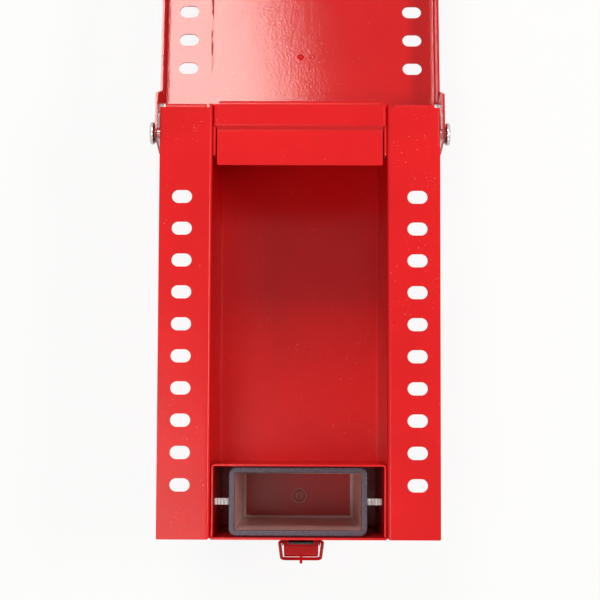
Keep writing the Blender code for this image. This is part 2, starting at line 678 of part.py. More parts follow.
def latch_lever():
    """The pressed lever: a face that slopes out and then drops, two side flanges and a finger lip."""
    eye = [(LEVER_PIVOT.y + EYE_RADIUS * math.cos(math.pi * step / 10),
            LEVER_PIVOT.z + EYE_RADIUS * math.sin(math.pi * step / 10)) for step in range(11)]
    side = eye + [(y * MM, z * MM) for y, z in (*LEVER_FACE, *LEVER_BACK)]
    made = prism("latch_lever", side, "X", LATCH_X - LEVER_HALF, LATCH_X + LEVER_HALF, RED)
    hollow = [(y * MM, z * MM) for y, z in LEVER_HOLLOW]
    inside = LEVER_HALF - LATCH_SHEET
    boolean(made, prism("lever_hollow", hollow, "X", LATCH_X - inside, LATCH_X + inside, None, cutters))
    middle, length = sum(LEVER_SLOT) / 2, LEVER_SLOT[1] - LEVER_SLOT[0]
    slot = [(LATCH_X + x, z) for z, x in stadium((middle, 0), length, 4 * MM)]
    boolean(made, prism("lever_slot", slot, "Y", -175 * MM, -153 * MM, None, cutters))
    for word, place, radius in (("pin", LEVER_PIVOT, LEVER_PIN_RADIUS), ("wire", BAIL_PIN, WIRE_RADIUS)):
        hole = circle(place.yz, radius + GAP, 16)
        boolean(made, prism("lever_hole_" + word, hole, "X", LATCH_X - 15 * MM, LATCH_X + 15 * MM, None,
                            cutters))
    origin_at(made, LEVER_PIVOT)
    return made


def origin_at(made, place):
    """Puts a piece's own origin on its joint, with its modifiers' cutters left where they are."""
    made.data.transform(Matrix.Translation(-place))
    made.location = place


def lever_pin():
    """The headed pin that the lever turns on."""
    inner = LEVER_HALF + GAP
    outer = inner + 0.8 * MM
    profile = [(0, outer), (1.8 * MM, outer), (2.2 * MM, inner), (LEVER_PIN_RADIUS, inner),
               (LEVER_PIN_RADIUS, -inner), (2.2 * MM, -inner), (1.8 * MM, -outer), (0, -outer)]
    made = turned("lever_pin", profile, STEEL, 16)
    made.rotation_euler.y = math.pi / 2
    made.location = LEVER_PIVOT
    smooth(made)
    return made


def bail_barrel():
    """The tube across the lever that the bail's ends turn with."""
    half = LEVER_HALF - LATCH_SHEET - GAP
    made = ring("bail_barrel", WIRE_RADIUS + GAP, BARREL_RADIUS, -half, half, STEEL, 20)
    made.rotation_euler.y = math.pi / 2
    made.location = BAIL_PIN
    smooth(made)
    return made


def latch_bail():
    """The wire loop, hanging from the barrel with its ends turned in."""
    corners = [(-5 * MM, 0), (-BAIL_HALF[0], 0), (-BAIL_HALF[1], BAIL_LENGTH),
               (BAIL_HALF[1], BAIL_LENGTH), (BAIL_HALF[0], 0), (5 * MM, 0)]
    path = rounded(corners, 3 * MM, 5)
    out, down = math.sin(BAIL_HANG), math.cos(BAIL_HANG)
    route = [(p.x, -p.y * out, -p.y * down) for p in path]
    made = wire("latch_bail", route, WIRE_RADIUS, RED)
    made.location = BAIL_PIN
    return made


def main():
    for old in list(bpy.data.objects):
        bpy.data.objects.remove(old)
    scene = bpy.context.scene
    scene.collection.children.link(collection)
    scene.collection.children.link(cutters)
    side_panel("side_panel_left", -1)
    side_panel("side_panel_right", 1)
    tub()
    rear_bridge()
    partition()
    key_bin()
    latch_base()
    latch_staple()
    latch_rivets()
    latch_lever()
    lever_pin()
    bail_barrel()
    latch_bail()
    pivot = lid_pivot()
    hinge_pieces(pivot)
    hang_on(pivot, lid_shell())
    hang_on(pivot, keeper())


main()
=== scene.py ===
"""Dresses the group lockout box: powder-coated sheet steel, stainless hinge pins, a clear bin and a latch."""

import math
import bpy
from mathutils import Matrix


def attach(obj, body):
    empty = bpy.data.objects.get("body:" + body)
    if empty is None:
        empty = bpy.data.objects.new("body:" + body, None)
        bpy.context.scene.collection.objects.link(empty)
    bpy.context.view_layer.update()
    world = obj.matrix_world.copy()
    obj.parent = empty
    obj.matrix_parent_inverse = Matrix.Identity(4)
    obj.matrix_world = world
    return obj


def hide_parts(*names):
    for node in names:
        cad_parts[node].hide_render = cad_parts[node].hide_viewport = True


bl_info = {
    "name": "Group Lockout Box",
    "version": (1, 0, 0),
    "blender": (4, 5, 0),
    "location": "View3D > Sidebar > Lockout Box",
    "description": "Builds the finished surfaces of a folded steel group lockout box on its packed frame",
    "category": "Add Mesh",
}

import bmesh
import bpy
from bpy.props import FloatProperty, FloatVectorProperty, IntProperty, PointerProperty
from mathutils import Matrix, Vector

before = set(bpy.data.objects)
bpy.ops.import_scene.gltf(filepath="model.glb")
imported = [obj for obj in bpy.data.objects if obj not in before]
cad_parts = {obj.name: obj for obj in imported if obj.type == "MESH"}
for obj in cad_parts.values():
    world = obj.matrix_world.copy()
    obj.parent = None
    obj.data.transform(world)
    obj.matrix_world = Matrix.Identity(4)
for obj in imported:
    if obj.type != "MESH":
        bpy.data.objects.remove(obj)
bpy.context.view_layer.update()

MM = 0.001
QUARTER = math.pi / 2
UP, DOWN = (0, 0, 1), (0, 0, -1)
SIDES = (("left", -1), ("right", 1))

# How near two measures have to be to count as one, and two corners to be merged
SLACK = 0.05 * MM
MERGE = 0.002 * MM

# Places that the CAD gives, the lid's as it is shut, and the radii of the pins' and rivets' holes
FRONT, REAR = -150 * MM, 150 * MM
FLANGE_TOP = 155 * MM
FLANGE_HALF = 97 * MM
WELL_HALF = 60.4 * MM
EAR_FACE = 97.2 * MM
EAR_FRONT = 120.5 * MM
EAR_BOTTOM = 117 * MM
LIP_BOTTOM = 143 * MM
SLOT_X = 81.2 * MM
SLOT_FIRST_Y = 85 * MM
PIVOT = Vector((0, 133, 131)) * MM
LID_OPEN = math.radians(189.1)
LID_SLIDE = 10.2 * MM
LID_TOP = 156.8 * MM
BAIL_PIN = Vector((1.8, -154.2, 101)) * MM
BIN_CENTRE = Vector((-0.5, -124.4, 0)) * MM
BIN_TOP = 147 * MM
BIN_FLOOR = 3.3 * MM
PIN_HOLE, RIVET_HOLE = 4.1 * MM, 1.6 * MM
RIVET_PLACES = [(x * MM, z * MM) for x in (-4.7, 8.3) for z in (74, 94)]

# The marks of stud welds inside the lid: across and along the shut box, and how deep each looks
WELD_MARKS = [(x * MM, 76.4 * MM, depth * MM) for x, depth in ((-0.1, 0.7), (7.8, 0.22))]


class SheetSettings(bpy.types.PropertyGroup):
    """Sizes that every folded sheet shares."""

    thickness: FloatProperty(name="Sheet Thickness", description="Thickness of the steel sheet",
                             default=1.5 * MM, min=0.5 * MM, unit="LENGTH", precision=4)
    bend: FloatProperty(name="Bend Radius", description="Outer radius of a fold",
                        default=2.5 * MM, min=1.6 * MM, unit="LENGTH", precision=4)
    bend_steps: IntProperty(name="Bend Steps", description="Flat strips that make up one fold",
                            default=7, min=3, max=16)
    edge: FloatProperty(name="Edge Rounding", description="Rounding that the coating gives to a cut edge",
                        default=0.45 * MM, min=0.05 * MM, unit="LENGTH", precision=5)


class SlotSettings(bpy.types.PropertyGroup):
    """The slots of each flange and of the lid."""

    count: IntProperty(name="Slots a Side", description="Slots along each flange", default=10, min=1)
    pitch: FloatProperty(name="Pitch", description="Distance between neighbouring slots",
                         default=22 * MM, unit="LENGTH", precision=4)
    length: FloatProperty(name="Length", description="Length of a slot across the flange",
                          default=13.8 * MM, unit="LENGTH", precision=4)
    width: FloatProperty(name="Width", description="Width of a slot along the flange",
                         default=9 * MM, unit="LENGTH", precision=4)


class FinishSettings(bpy.types.PropertyGroup):
    """Colours of the finishes."""

    red: FloatVectorProperty(name="Coating", description="Colour of the powder coating", subtype="COLOR",
                             size=3, default=(0.73, 0.008, 0.010), min=0, max=1)
    deep_red: FloatVectorProperty(name="Thick Coating", description="Colour where the coating pools",
                                  subtype="COLOR", size=3, default=(0.58, 0.005, 0.007), min=0, max=1)
    steel: FloatVectorProperty(name="Stainless Steel", description="Colour of the hinge pins",
                               subtype="COLOR", size=3, default=(0.60, 0.58, 0.55), min=0, max=1)
    plastic: FloatVectorProperty(name="Bin Plastic", description="Colour of the translucent bin",
                                 subtype="COLOR", size=3, default=(0.088, 0.062, 0.092), min=0, max=1)


SETTINGS = {"lockout_sheet": SheetSettings, "lockout_slots": SlotSettings, "lockout_finish": FinishSettings}


# Shader writing

class Wire:
    """A shader socket that can be used in Python expressions."""

    def __init__(self, tree, socket):
        self.tree = tree
        self.socket = socket

    def maths(self, operation, *others, flip=False):
        """One Math node, with this socket first or, flipped, last."""
        node = self.tree.nodes.new("ShaderNodeMath")
        node.operation = operation
        values = [self, *others]
        if flip:
            values.reverse()
        for place, value in zip(node.inputs, values):
            feed(self.tree, place, value)
        return Wire(self.tree, node.outputs[0])

    def __add__(self, other):
        return self.maths("ADD", other)

    __radd__ = __add__

    def __sub__(self, other):
        return self.maths("SUBTRACT", other)

    def __rsub__(self, other):
        return self.maths("SUBTRACT", other, flip=True)

    def __mul__(self, other):
        return self.maths("MULTIPLY", other)

    __rmul__ = __mul__

    def __truediv__(self, other):
        return self.maths("DIVIDE", other)

    def __pow__(self, other):
        return self.maths("POWER", other)

    def near(self, value, half_width):
        """1 where this socket is close to a value, fading to 0 at half_width."""
        gap = (self - value).maths("ABSOLUTE")
        return (1 - gap / half_width).maths("MAXIMUM", 0)

    def between(self, low, high):
        """0 below low, 1 above high, and a ramp in between."""
        return ((self - low) / (high - low)).maths("MINIMUM", 1).maths("MAXIMUM", 0)


def feed(tree, place, value):
    """Links a socket to an input, or sets the input to a value."""
    if isinstance(value, Wire):
        tree.links.new(value.socket, place)
    elif place.type == "RGBA":
        place.default_value = (*value, 1)
    else:
        place.default_value = value


class Finish:
    """A Principled material under construction."""

    def __init__(self, name):
        self.material = bpy.data.materials.new(name)
        self.material.use_nodes = True
        self.tree = self.material.node_tree
        self.shader = self.tree.nodes["Principled BSDF"]
        self.at = Wire(self.tree, self.node("TexCoord").outputs["Object"])

    def node(self, kind, settings=None, **inputs):
        """One node of any type: its settings first, then its values and links."""
        made = self.tree.nodes.new("ShaderNode" + kind)
        for name, value in (settings or {}).items():
            setattr(made, name, value)
        for name, value in inputs.items():
            feed(self.tree, made.inputs[name.replace("_", " ")], value)
        return made

    def noise(self, scale, detail=2.0, roughness=0.5, stretch=None):
        """Noise over the object, about 0 to 1, with scale in features a metre."""
        where = self.at
        if stretch:
            mapping = self.node("Mapping", Vector=self.at, Scale=stretch)
            where = Wire(self.tree, mapping.outputs[0])
        made = self.node("TexNoise", Vector=where, Scale=scale, Detail=detail, Roughness=roughness)
        return Wire(self.tree, made.outputs["Fac"])

    def split(self, vector):
        """The three parts of a vector."""
        return [Wire(self.tree, output) for output in self.node("SeparateXYZ", Vector=vector).outputs]

    def axes(self):
        """The place on the object, along X, Y and Z."""
        return self.split(self.at)

    def facing(self):
        """How far the surface faces up: 1 for a top, 0 for a wall, -1 for an underside."""
        return self.split(Wire(self.tree, self.node("TexCoord").outputs["Normal"]))[2]

    def blend(self, factor, first, second):
        """A colour between two colours."""
        made = self.node("Mix", {"data_type": "RGBA"})
        feed(self.tree, made.inputs["Factor"], factor)
        feed(self.tree, made.inputs[6], first)
        feed(self.tree, made.inputs[7], second)
        return Wire(self.tree, made.outputs[2])

    def bump(self, height, strength, distance, under=None):
        """A bumped normal, over another where one is given."""
        made = self.node("Bump", Height=height, Strength=strength, Distance=distance)
        if under:
            feed(self.tree, made.inputs["Normal"], under)
        return Wire(self.tree, made.outputs[0])

    def set(self, **inputs):
        """Feeds the shader and gives back the finished material."""
        for name, value in inputs.items():
            feed(self.tree, self.shader.inputs[name.replace("_", " ")], value)
        return self.material


def tint(colour, factor):
    """A lighter or darker form of a colour."""
    return tuple(min(1.0, part * factor) for part in colour)


def powder_coat(name, gloss=0.19, peel=0.5, shine=0.2):
    """Red powder coating: orange peel, slow drifts of colour and gloss, and specks of dust."""
    colours = bpy.context.scene.lockout_finish
    red, deep = tuple(colours.red), tuple(colours.deep_red)
    finish = Finish(name)
    drift = finish.noise(14, 3, 0.55)
    cloud = finish.noise(60, 4, 0.6)
    speck = finish.noise(900, 1, 0.4).between(0.735, 0.78) * finish.noise(35, 1).between(0.5, 0.62)
    scuff = finish.noise(160, 5, 0.7, (1, 0.12, 1)).between(0.66, 0.74) * drift.between(0.5, 0.7)
    colour = finish.blend(drift.between(0.35, 0.7) * 0.55, red, deep)
    colour = finish.blend(cloud.between(0.55, 0.8) * 0.16, colour, tint(red, 1.25))
    colour = finish.blend(speck * 0.5, colour, (0.85, 0.32, 0.28))
    colour = finish.blend(scuff * 0.12, colour, (0.80, 0.20, 0.16))
    rough = cloud * 0.10 + drift * 0.06 + (gloss - 0.07) + speck * 0.25 + scuff * 0.12
    peel_height = finish.noise(430, 2, 0.45) + finish.noise(150, 1, 0.5) * 0.8
    normal = finish.bump(peel_height, peel, 0.12 * MM)
    normal = finish.bump(speck, 0.4, 0.05 * MM, normal)
    return finish.set(Base_Color=colour, Roughness=rough, Normal=normal, Specular_IOR_Level=shine)


def lid_coat():
    """The lid's coating: a coarser orange peel, handling smudges and the rub line inside the left slots."""
    colours = bpy.context.scene.lockout_finish
    red, deep = tint(colours.red, 0.84), tint(colours.deep_red, 0.84)
    finish = Finish("red_powder_coat_lid")
    across, along, _ = finish.axes()
    drift = finish.noise(11, 3, 0.55)
    cloud = finish.noise(45, 4, 0.6)
    smudge = finish.noise(26, 4, 0.65, (1, 0.55, 1)).between(0.55, 0.72)
    rub_x, rub_half = -64.2 * MM, 1.3 * MM
    streak = finish.noise(150, 3, 0.6, (3, 1, 1)).between(0.42, 0.56)
    rub = across.near(rub_x, rub_half).between(0.2, 0.6) * streak
    rub = rub * (along.between(180 * MM, 215 * MM) * 0.7 + 0.3) * along.between(172 * MM, 182 * MM)
    rub = rub * finish.facing().between(0.5, 0.9) * (1 - along.between(260 * MM, 300 * MM))
    speck = finish.noise(950, 1, 0.4).between(0.74, 0.78) * finish.noise(30, 1).between(0.48, 0.62)
    colour = finish.blend(drift.between(0.35, 0.7) * 0.45, red, deep)
    colour = finish.blend(smudge * 0.18, colour, tint(deep, 0.8))
    colour = finish.blend(rub * 0.7, colour, tint(deep, 0.45))
    colour = finish.blend(speck * 0.45, colour, (0.85, 0.35, 0.30))
    rough = cloud * 0.03 + smudge * 0.04 + rub * 0.55 + speck * 0.2 + 0.055
    peel = finish.noise(600, 2, 0.5) * 0.48 + finish.noise(240, 2, 0.5) * 0.08 + drift * 0.8
    normal = finish.bump(peel, 0.6, 0.2 * MM)
    normal = finish.bump(smudge, 0.08, 0.06 * MM, normal)
    return finish.set(Base_Color=colour, Roughness=rough, Normal=normal, Specular_IOR_Level=0.22)


def turned_steel(name, y, z, colour, rough=0.16, pitch=0.35 * MM):
    """Steel turned about an axis along X, with fine tool rings and a little grime."""
    finish = Finish(name)
    _, along, up = finish.axes()
    radius = ((along - y) ** 2 + (up - z) ** 2) ** 0.5
    rings = (radius * (2 * math.pi / pitch)).maths("SINE")
    grime = finish.noise(420, 4, 0.6)
    tone = finish.blend(grime.between(0.45, 0.75) * 0.5, colour, tint(colour, 0.55))
    tone = finish.blend(rings.between(-1, 1) * 0.12, tone, tint(colour, 1.2))
    gloss = grime * 0.22 + (rough - 0.08)
    normal = finish.bump(rings, 0.25, 0.02 * MM)
    return finish.set(Base_Color=tone, Roughness=gloss, Metallic=1.0, Normal=normal)


def latch_steel(name, pale):
    """Plated or blackened steel: a fine bloom over rolled metal."""
    finish = Finish(name)
    bloom = finish.noise(700, 4, 0.65)
    patch = finish.noise(160, 3, 0.5)
    tone = finish.blend(bloom.between(0.35, 0.7), (pale * 0.7,) * 3, (pale, pale * 0.99, pale * 0.97))
    tone = finish.blend(patch.between(0.55, 0.8) * 0.4, tone, (pale * 0.5, pale * 0.46, pale * 0.41))
    normal = finish.bump(bloom, 0.3, 0.03 * MM)
    return finish.set(Base_Color=tone, Roughness=patch * 0.2 + 0.28, Metallic=1.0, Normal=normal)


def dark_washer():
    """A dark nylon washer, dusty and slightly scuffed."""
    finish = Finish("dark_nylon")
    grain = finish.noise(1400, 3, 0.6)
    dusty = finish.noise(220, 3, 0.6).between(0.5, 0.75)
    tone = finish.blend(dusty * 0.35, (0.022, 0.020, 0.020), (0.16, 0.13, 0.12))
    normal = finish.bump(grain, 0.3, 0.04 * MM)
    return finish.set(Base_Color=tone, Roughness=grain * 0.15 + 0.42, Normal=normal)


def bin_plastic():
    """Smoky clear plastic with flow marks and scratches, thicker and milkier at the rim, with painted light:
    a red floor for the lit box floor below it, and pale painted reflections on the walls and on the floor's
    rounded fold.
    """
    plastic = tuple(bpy.context.scene.lockout_finish.plastic)
    finish = Finish("smoky_clear_plastic")
    up = finish.axes()[2]
    level = finish.facing().maths("ABSOLUTE")
    rim = up.between(BIN_TOP - 4.6 * MM, BIN_TOP - 3.8 * MM)
    wall = 1 - level.between(0.05, 0.3)
    fold = level.between(0.05, 0.3) * (1 - level.between(0.93, 0.995)) * (1 - rim)
    flow = finish.noise(34, 3, 0.6, (1, 1, 0.25))
    frost = finish.noise(500, 3, 0.6)
    scratch = finish.noise(220, 5, 0.75, (0.25, 1, 1)).between(0.66, 0.74)
    # Below the rim the base tone is a painted red: painted light of the lit red box floor seen through the
    # bin. The walls and the fold are painted over it next.
    tone = finish.blend(rim, (0.72, 0.06, 0.04), plastic)
    # Painted reflection: the walls are painted pale pink, where the plastic mirrors light at a grazing angle.
    tone = finish.blend(wall * (1 - rim) * 0.8, tone, (1.0, 0.78, 0.74))
    # Painted reflection: the rounded fold round the floor is painted pale pink, as a band of reflected light.
    tone = finish.blend(fold, tone, (0.95, 0.76, 0.74))
    tone = finish.blend(flow.between(0.4, 0.7) * rim * 0.3, tone, tint(plastic, 0.7))
    rough = frost * 0.12 + scratch * 0.2 + rim * 0.12 + 0.1
    normal = finish.bump(flow * 0.6 + frost * 0.15, 0.2, 0.15 * MM)
    solid = rim * 0.64 + wall * (1 - rim) * 0.62 + fold * 0.66 + flow * 0.05 + scratch * 0.1 + 0.16
    return finish.set(Base_Color=tone, Roughness=rough, Normal=normal, Alpha=solid, Specular_IOR_Level=0.35)


def milky_plastic():
    """The paler, thicker plastic of the grip tabs."""
    finish = Finish("milky_plastic")
    flow = finish.noise(180, 3, 0.6)
    frost = finish.noise(900, 2, 0.6)
    tone = finish.blend(flow.between(0.4, 0.65), (0.74, 0.70, 0.72), (0.44, 0.36, 0.39))
    normal = finish.bump(frost, 0.3, 0.05 * MM)
    return finish.set(Base_Color=tone, Roughness=frost * 0.15 + 0.22, Normal=normal, Alpha=flow * 0.2 + 0.72)


# Bench work

def object_mode():
    """Leaves edit mode where it is on."""
    if bpy.context.object and bpy.context.object.mode != "OBJECT":
        bpy.ops.object.mode_set(mode="OBJECT")


def only(piece):
    """Selects one piece and nothing else."""
    object_mode()
    bpy.ops.object.select_all(action="DESELECT")
    piece.select_set(True)
    bpy.context.view_layer.objects.active = piece


def begin(name, operator, stretch=None, /, **settings):
    """Adds a primitive at its place and size."""
    object_mode()
    bpy.ops.object.select_all(action="DESELECT")
    operator(**settings)
    piece = bpy.context.object
    piece.name = name
    if stretch:
        piece.scale = stretch
    bpy.ops.object.transform_apply(location=True, rotation=True, scale=True)
    return piece


def block(name, size, place, turn=(0, 0, 0)):
    """A solid block, to be shaped or cut with."""
    return begin(name, bpy.ops.mesh.primitive_cube_add, size, size=1, location=place, rotation=turn)


def blank(name, width, depth, place=(0, 0, 0), turn=(0, 0, 0)):
    """A flat rectangle, to be folded and thickened."""
    return begin(name, bpy.ops.mesh.primitive_plane_add, (width, depth, 1), size=1, location=place,
                 rotation=turn)


def settle(piece, place):
    """Moves a piece and keeps the move in its mesh."""
    piece.matrix_world = place
    only(piece)
    bpy.ops.object.transform_apply(location=True, rotation=True, scale=True)
    return piece


def middle(item):
    """The centre of an edge or a face."""
    return sum((vert.co for vert in item.verts), Vector()) / len(item.verts)


def pick(piece, kind, test=lambda item: True):
    """Selects, in edit mode, the vertices, edges or faces that pass a test, or else all of them."""
    if piece.mode != "EDIT":
        only(piece)
        bpy.ops.object.mode_set(mode="EDIT")
    bpy.ops.mesh.select_mode(type=kind)
    bpy.ops.mesh.select_all(action="DESELECT")
    mesh = bmesh.from_edit_mesh(piece.data)
    items = {"VERT": mesh.verts, "EDGE": mesh.edges, "FACE": mesh.faces}[kind]
    for item in items:
        if test(item):
            item.select_set(True)
    mesh.select_flush_mode()
    bmesh.update_edit_mesh(piece.data)


def close(value, target):
    """Whether two measures agree, within a hair."""
    return abs(value - target) < SLACK


def open_edge(test):
    """A test for edges of one face, by the centre of the edge."""
    return lambda edge: edge.is_boundary and test(middle(edge))


def draw(*steps):
    """Extrudes the picked edges along each step in turn."""
    for step in steps:
        bpy.ops.mesh.extrude_edges_move(TRANSFORM_OT_translate={"value": tuple(step)})


def push(step):
    """Moves what is picked."""
    bpy.ops.transform.translate(value=tuple(step))


def widen(factor):
    """Scales what is picked across the box, about its middle plane."""
    bpy.ops.transform.resize(value=(factor, 1, 1), center_override=(0, 0, 0))


def fold(outward, towards, length, radius=None):
    """Bends the picked open edge a quarter turn and carries it on straight, as a press brake does."""
    sheet = bpy.context.scene.lockout_sheet
    radius = radius or sheet.bend
    outward, towards = Vector(outward), Vector(towards)
    mesh = bmesh.from_edit_mesh(bpy.context.object.data)
    start = next(vert.co.copy() for vert in mesh.verts if vert.select)
    bpy.ops.mesh.spin(steps=sheet.bend_steps, angle=QUARTER, center=start + towards * radius,
                      axis=towards.cross(outward))
    draw(towards * length)


def slice_at(piece, axis, *places):
    """Cuts an open sheet into strips across an axis."""
    normal = [float(number == axis) for number in range(3)]
    for place in places:
        pick(piece, "FACE")
        bpy.ops.mesh.bisect(plane_co=[place * part for part in normal], plane_no=normal)


def round_corners(piece, radius, test, steps=4):
    """Rounds sheet corners in their own plane."""
    pick(piece, "VERT", test)
    bpy.ops.mesh.bevel(affect="VERTICES", offset=radius, segments=steps)


def modify(piece, kind, **settings):
    """Adds a modifier and applies it."""
    only(piece)
    modifier = piece.modifiers.new(kind.title(), kind)
    for name, value in settings.items():
        setattr(modifier, name, value)
    bpy.ops.object.modifier_apply(modifier=modifier.name)


def cut(piece, tool, operation="DIFFERENCE"):
    """Cuts a tool out of a piece, or joins it on, and removes the tool."""
    modify(piece, "BOOLEAN", object=tool, operation=operation, solver="EXACT")
    bpy.data.objects.remove(tool)


def thicken(piece, outward):
    """Gives a folded surface its thickness, on the side away from the one that faces outward."""
    outward = Vector(outward)
    pick(piece, "FACE")
    bpy.ops.mesh.normals_make_consistent(inside=False)
    mesh = bmesh.from_edit_mesh(piece.data)
    front = max(mesh.faces, key=lambda face: middle(face).dot(outward))
    if front.normal.dot(outward) < 0:
        bpy.ops.mesh.flip_normals()
    thickness = bpy.context.scene.lockout_sheet.thickness
    modify(piece, "SOLIDIFY", thickness=thickness, offset=-1, use_even_offset=True)


def shade(piece, angle=35):
    """Shades a piece smooth, apart from the edges that turn by more than an angle."""
    only(piece)
    bpy.ops.object.shade_smooth_by_angle(angle=math.radians(angle))
    return piece


def soften(piece, width=None, angle=50):
    """Rounds every sharp edge and shades the rest smooth."""
    width = width or bpy.context.scene.lockout_sheet.edge
    modify(piece, "BEVEL", width=width, segments=3, limit_method="ANGLE",
           angle_limit=math.radians(angle), use_clamp_overlap=True, miter_outer="MITER_ARC")
    shade(piece)
    modify(piece, "WEIGHTED_NORMAL", keep_sharp=True, weight=50)


def dress(piece, material, body, slot, *nodes):
    """Gives a piece its finish and its body, and hides the solids that it stands for; the slot is not used.
    """
    object_mode()
    piece.data.materials.clear()
    piece.data.materials.append(material)
    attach(piece, body)
    if nodes:
        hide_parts(*nodes)
    return piece


def retouch(node, name, width=0.25 * MM):
    """A copy of a solid with its flats cleaned and its edges rounded."""
    only(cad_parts[node])
    bpy.ops.object.duplicate()
    piece = bpy.context.object
    piece.name = name
    piece.parent = None
    pick(piece, "VERT")
    bpy.ops.mesh.remove_doubles(threshold=MERGE)
    bpy.ops.mesh.dissolve_limited(angle_limit=math.radians(0.5))
    soften(piece, width, angle=40)
    return piece


def slot_punch(top):
    """A punch for one row of slots, on the right-hand side."""
    slots = bpy.context.scene.lockout_slots
    punch = block("slot_punch", (slots.length, slots.width, 8 * MM), (SLOT_X, SLOT_FIRST_Y, top))
    pick(punch, "EDGE", lambda edge: close(middle(edge).z, top))
    bpy.ops.mesh.bevel(offset=slots.width / 2 - 0.005 * MM, segments=12)
    modify(punch, "ARRAY", count=slots.count, use_relative_offset=False, use_constant_offset=True,
           constant_offset_displace=(0, -slots.pitch, 0))
    return punch


def punch_slots(piece, top, side):
    """Punches a side's row of slots."""
    punch = slot_punch(top)
    if side < 0:
        pick(punch, "VERT")
        push((-2 * SLOT_X, 0, 0))
    cut(piece, punch)


def drill(piece, place, radius, axis="X", depth=14 * MM, sides=40):
    """Drills a round hole."""
    turn = (0, QUARTER, 0) if axis == "X" else (QUARTER, 0, 0)
    bit = begin("drill", bpy.ops.mesh.primitive_cylinder_add, vertices=sides, radius=radius, depth=depth,
                location=place, rotation=turn)
    cut(piece, bit)


def lathe(name, profile, centre, side=1, steps=64):
    """Turns a profile of (radius, distance along X) in millimetres about the X axis through a centre."""
    profile = [(radius * MM, along * MM) for radius, along in profile]
    first = profile[0]
    piece = begin(name, bpy.ops.mesh.primitive_plane_add, size=MM)
    pick(piece, "VERT", lambda vert: vert.index > 0)
    bpy.ops.mesh.delete(type="VERT")
    pick(piece, "VERT")
    mesh = bmesh.from_edit_mesh(piece.data)
    start = Vector((centre[0] + side * first[1], centre[1], centre[2] + first[0]))
    mesh.verts.ensure_lookup_table()
    push(start - mesh.verts[0].co)
    for (radius, along), (next_radius, next_along) in zip(profile, profile[1:]):
        step = (side * (next_along - along), 0, next_radius - radius)
        bpy.ops.mesh.extrude_vertices_move(TRANSFORM_OT_translate={"value": step})
    pick(piece, "VERT")
    bpy.ops.mesh.spin(steps=steps, angle=2 * math.pi, center=centre, axis=(1, 0, 0))
    pick(piece, "VERT")
    bpy.ops.mesh.remove_doubles(threshold=MERGE)
    bpy.ops.mesh.normals_make_consistent(inside=False)
    return shade(piece)


def weld_bead(name, start, end, width, outward):
    """A ground weld: a low rounded bead along a seam."""
    start, end, outward = Vector(start), Vector(end), Vector(outward)
    along, centre = end - start, (start + end) / 2
    piece = begin(name, bpy.ops.mesh.primitive_cylinder_add, vertices=16, radius=width / 2,
                  depth=along.length, location=centre, rotation=along.to_track_quat("Z", "Y").to_euler())
    pick(piece, "VERT")
    flat = tuple(1 - 0.55 * abs(part) for part in outward)
    bpy.ops.transform.resize(value=flat, center_override=tuple(centre))
    soften(piece, 0.15 * MM)
    return piece


# Pieces

def notch(piece, side):
    """Grooves a front corner of the well, where the side wall meets the front wall."""
    width = 2.6 * MM
    cut(piece, block("notch", (width, width, FLANGE_TOP + 15 * MM),
                     (side * (WELL_HALF + 0.5 * MM), FRONT - 0.7 * MM, FLANGE_TOP / 2), (0, 0, QUARTER / 2)))


def flange_wall(word, side):
    """A wall of the well folded out into a slotted flange, with the hinge ear and the rear lip."""
    bend = bpy.context.scene.lockout_sheet.bend
    ear_bend, lip_inset, back = 2 * MM, 2 * MM, REAR - bend
    near, far = WELL_HALF + bend, EAR_FACE - ear_bend
    lip_near, lip_far = near + lip_inset, far - lip_inset
    piece = blank("flange_wall_" + word, far - near, back - FRONT,
                  (side * (near + far) / 2, (FRONT + back) / 2, FLANGE_TOP))
    slice_at(piece, 1, EAR_FRONT)
    slice_at(piece, 0, side * lip_near, side * lip_far)
    pick(piece, "EDGE", open_edge(lambda p: close(p.x, side * far) and p.y < EAR_FRONT))
    draw((side * (FLANGE_HALF - far), 0, 0))
    pick(piece, "EDGE", open_edge(lambda p: close(p.x, side * far) and p.y > EAR_FRONT))
    fold((side, 0, 0), DOWN, FLANGE_TOP - ear_bend - EAR_BOTTOM, radius=ear_bend)
    pick(piece, "EDGE", open_edge(lambda p: close(p.y, back) and close(p.z, FLANGE_TOP)
                                  and lip_near < abs(p.x) < lip_far))
    fold((0, 1, 0), DOWN, FLANGE_TOP - bend - LIP_BOTTOM)
    pick(piece, "EDGE", open_edge(lambda p: close(p.x, side * near)))
    fold((-side, 0, 0), DOWN, FLANGE_TOP - bend)
    pick(piece, "EDGE", open_edge(lambda p: close(p.y, back) and abs(p.x) < near))
    draw((0, bend, 0))
    round_corners(piece, 4 * MM, lambda v: close(v.co.z, EAR_BOTTOM), steps=6)
    round_corners(piece, 1.2 * MM, lambda v: close(v.co.z, LIP_BOTTOM))
    round_corners(piece, 1.0 * MM, lambda v: close(abs(v.co.x), FLANGE_HALF) and close(v.co.y, FRONT))
    thicken(piece, UP)
    punch_slots(piece, FLANGE_TOP, side)
    drill(piece, (side * EAR_FACE, PIVOT.y, PIVOT.z), PIN_HOLE)
    notch(piece, side)
    soften(piece)
    return piece


def front_base_back():
    """The strip folded into the front wall, the base and the rear wall."""
    bend = bpy.context.scene.lockout_sheet.bend
    half, front, back, rear_top = 60.1 * MM, FRONT + bend, REAR - bend, 153.2 * MM
    piece = blank("front_base_back", 2 * half, back - front)
    pick(piece, "EDGE", open_edge(lambda p: close(p.y, front)))
    fold((0, -1, 0), UP, FLANGE_TOP - bend)
    pick(piece, "EDGE", open_edge(lambda p: close(p.y, back)))
    fold((0, 1, 0), UP, rear_top - bend)
    thicken(piece, DOWN)
    for x, z in RIVET_PLACES:
        drill(piece, (x, FRONT, z), RIVET_HOLE, axis="Y", depth=8 * MM, sides=24)
    for side in (-1, 1):
        notch(piece, side)
    soften(piece)
    return piece


